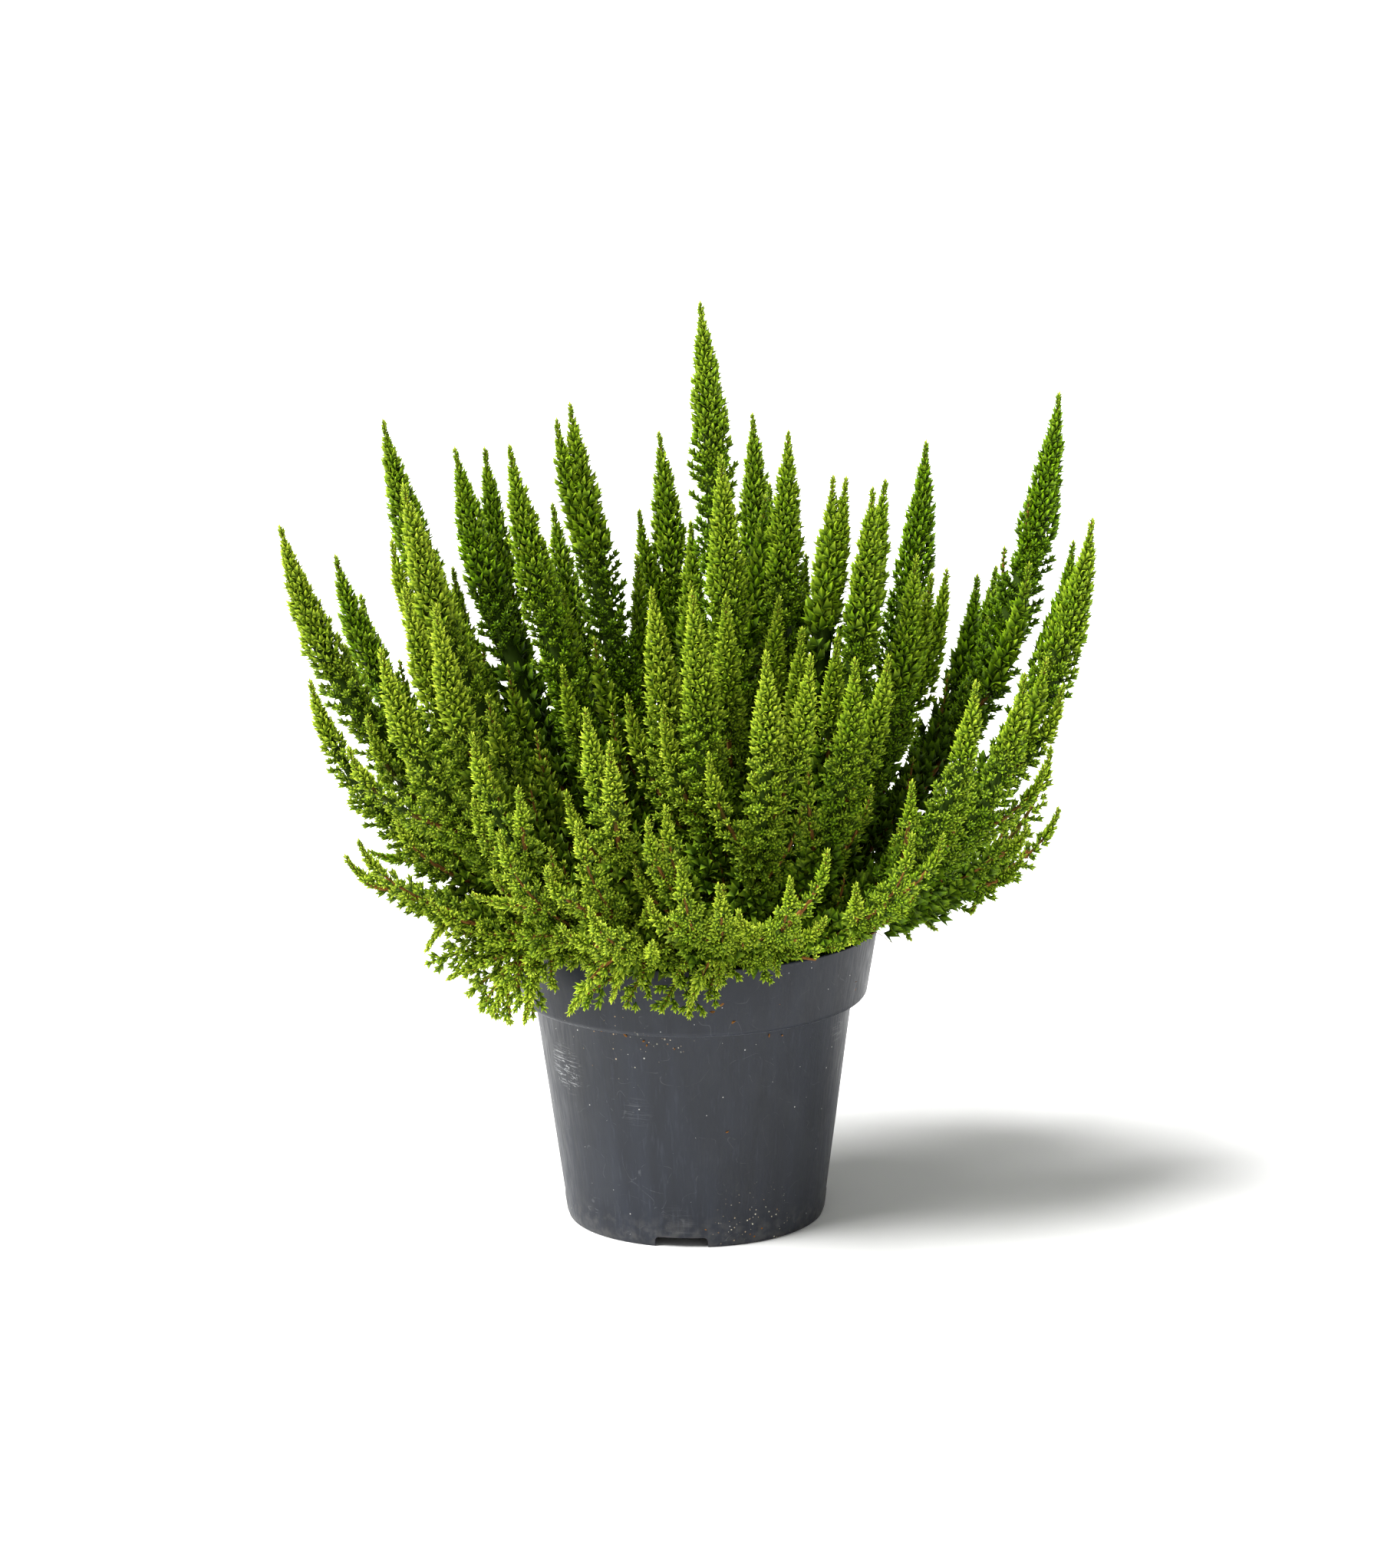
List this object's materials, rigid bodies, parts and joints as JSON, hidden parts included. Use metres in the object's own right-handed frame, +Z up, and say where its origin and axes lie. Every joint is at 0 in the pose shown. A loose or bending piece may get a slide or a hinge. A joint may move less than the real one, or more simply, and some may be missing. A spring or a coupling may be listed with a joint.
{
  "type": "potted heather",
  "caption": "Bushy evergreen heather of slim upright leafy spikes, not in flower, growing in a dark grey round nursery pot with a wide collar.",
  "frame": {"origin": "on the ground at the centre of the pot's foot, which is the centre of the bounding box's base", "axes": "+Z up, the longest extent, from the pot's foot to the tallest shoot; -Y is the side the picture shows"},
  "size_m": [0.4879, 0.3962, 0.561],
  "materials": {
    "pot_plastic": "dark bluish grey recycled plastic, slightly glossy, with faint upright streaks, scuffs and dust",
    "soil": "dark moist bark and peat growing medium, rough",
    "bark": "matt red-brown bark",
    "heather_leaf": "fresh green needle leaves with yellow-green growing tips, satin"
  },
  "bodies": {
    "root": {"pot": "pot_plastic", "soil": "soil", "woody_stems": "bark", "leafy_shoot_01": "heather_leaf", "leafy_shoot_02": "heather_leaf", "leafy_shoot_03": "heather_leaf", "leafy_shoot_04": "heather_leaf", "leafy_shoot_05": "heather_leaf", "leafy_shoot_06": "heather_leaf", "leafy_shoot_07": "heather_leaf", "leafy_shoot_08": "heather_leaf", "leafy_shoot_09": "heather_leaf", "leafy_shoot_10": "heather_leaf", "leafy_shoot_11": "heather_leaf", "leafy_shoot_12": "heather_leaf", "leafy_shoot_13": "heather_leaf", "leafy_shoot_14": "heather_leaf", "leafy_shoot_15": "heather_leaf", "leafy_shoot_16": "heather_leaf", "leafy_shoot_17": "heather_leaf", "leafy_shoot_18": "heather_leaf", "leafy_shoot_19": "heather_leaf", "leafy_shoot_20": "heather_leaf", "leafy_shoot_21": "heather_leaf", "leafy_shoot_22": "heather_leaf", "leafy_shoot_23": "heather_leaf", "leafy_shoot_24": "heather_leaf", "leafy_shoot_25": "heather_leaf", "leafy_shoot_26": "heather_leaf", "leafy_shoot_27": "heather_leaf", "leafy_shoot_28": "heather_leaf", "leafy_shoot_29": "heather_leaf", "leafy_shoot_30": "heather_leaf", "leafy_shoot_31": "heather_leaf", "leafy_shoot_32": "heather_leaf", "leafy_shoot_33": "heather_leaf", "leafy_shoot_34": "heather_leaf", "leafy_shoot_35": "heather_leaf", "leafy_shoot_36": "heather_leaf", "leafy_shoot_37": "heather_leaf", "leafy_shoot_38": "heather_leaf", "leafy_shoot_39": "heather_leaf", "leafy_shoot_40": "heather_leaf", "leafy_shoot_41": "heather_leaf", "leafy_shoot_42": "heather_leaf", "leafy_shoot_43": "heather_leaf", "leafy_shoot_44": "heather_leaf", "leafy_shoot_45": "heather_leaf", "leafy_shoot_46": "heather_leaf", "leafy_shoot_47": "heather_leaf", "leafy_shoot_48": "heather_leaf", "leafy_shoot_49": "heather_leaf", "leafy_shoot_50": "heather_leaf", "leafy_shoot_51": "heather_leaf", "leafy_shoot_52": "heather_leaf", "leafy_shoot_53": "heather_leaf", "leafy_shoot_54": "heather_leaf", "leafy_shoot_55": "heather_leaf", "leafy_shoot_56": "heather_leaf"}
  },
  "joints": []
}
